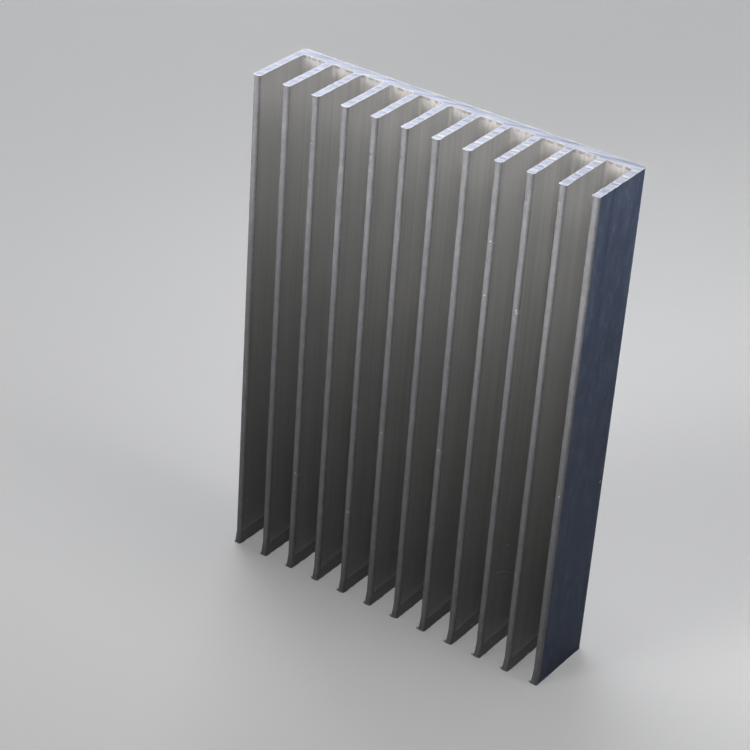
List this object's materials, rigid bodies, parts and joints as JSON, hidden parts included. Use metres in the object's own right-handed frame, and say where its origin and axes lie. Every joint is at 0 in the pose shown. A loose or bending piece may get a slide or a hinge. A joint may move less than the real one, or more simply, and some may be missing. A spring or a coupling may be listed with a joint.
{
  "type": "extruded heat sink",
  "caption": "Bare aluminium comb heat sink cut from an extrusion: a flat base plate with straight parallel fins, standing on its saw-cut end.",
  "frame": {"origin": "centre of the bounding box at the bottom saw cut, which the heat sink stands on", "axes": "+Z along the extrusion, +Y out of the flat mounting face with the fins pointing to -Y, +X across the width"},
  "size_m": [0.07, 0.015, 0.1],
  "materials": {
    "mill_aluminium": "mill finish with fine die lines along the extrusion, saw-cut ends"
  },
  "bodies": {
    "root": {"heat_sink": "mill_aluminium"}
  },
  "joints": []
}
